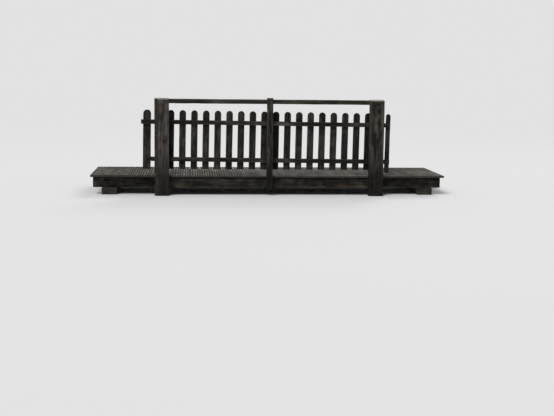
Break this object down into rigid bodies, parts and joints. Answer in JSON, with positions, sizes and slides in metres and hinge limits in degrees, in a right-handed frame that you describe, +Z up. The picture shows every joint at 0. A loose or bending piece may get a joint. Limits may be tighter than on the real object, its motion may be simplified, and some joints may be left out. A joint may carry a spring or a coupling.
{
  "type": "wooden footbridge with one picket railing",
  "caption": "Small timber footbridge: stringers on bank sills, grooved boards across them, one railing with broad end posts, a slim middle post, a handrail, rails and round topped pickets.",
  "frame": {"origin": "at ground level, in the middle of the object's box: centred along the bridge and across it", "axes": "+X along the bridge, +Y across it away from the railing, +Z up"},
  "size_m": [5.107, 1.445, 1.399],
  "materials": {
    "sill_timber": "damp, dark, rough sawn",
    "beam_timber": "weathered, dark, rough sawn",
    "deck_boards": "grooved across, weathered grey",
    "post_timber": "weathered, knots and drying cracks",
    "rail_timber": "weathered grey brown",
    "picket_timber": "dark stained, weathered"
  },
  "bodies": {
    "root": {"sill_left": "sill_timber", "sill_right": "sill_timber", "stringer_front": "beam_timber", "stringer_middle": "beam_timber", "stringer_rear": "beam_timber", "edge_beam_front": "beam_timber", "edge_beam_rear": "beam_timber", "deck_left_end": "deck_boards", "deck_left_middle": "deck_boards", "deck_right_middle": "deck_boards", "deck_right_end": "deck_boards", "end_post_left": "post_timber", "end_post_right": "post_timber", "middle_post": "post_timber", "handrail": "rail_timber", "upper_rail": "rail_timber", "lower_rail": "rail_timber", "picket_01": "picket_timber", "picket_02": "picket_timber", "picket_03": "picket_timber", "picket_04": "picket_timber", "picket_05": "picket_timber", "picket_06": "picket_timber", "picket_07": "picket_timber", "picket_08": "picket_timber", "picket_09": "picket_timber", "picket_10": "picket_timber", "picket_11": "picket_timber", "picket_12": "picket_timber", "picket_13": "picket_timber", "picket_14": "picket_timber", "picket_15": "picket_timber", "picket_16": "picket_timber", "picket_17": "picket_timber", "picket_18": "picket_timber", "picket_19": "picket_timber", "picket_20": "picket_timber", "picket_21": "picket_timber", "picket_22": "picket_timber"}
  },
  "joints": []
}
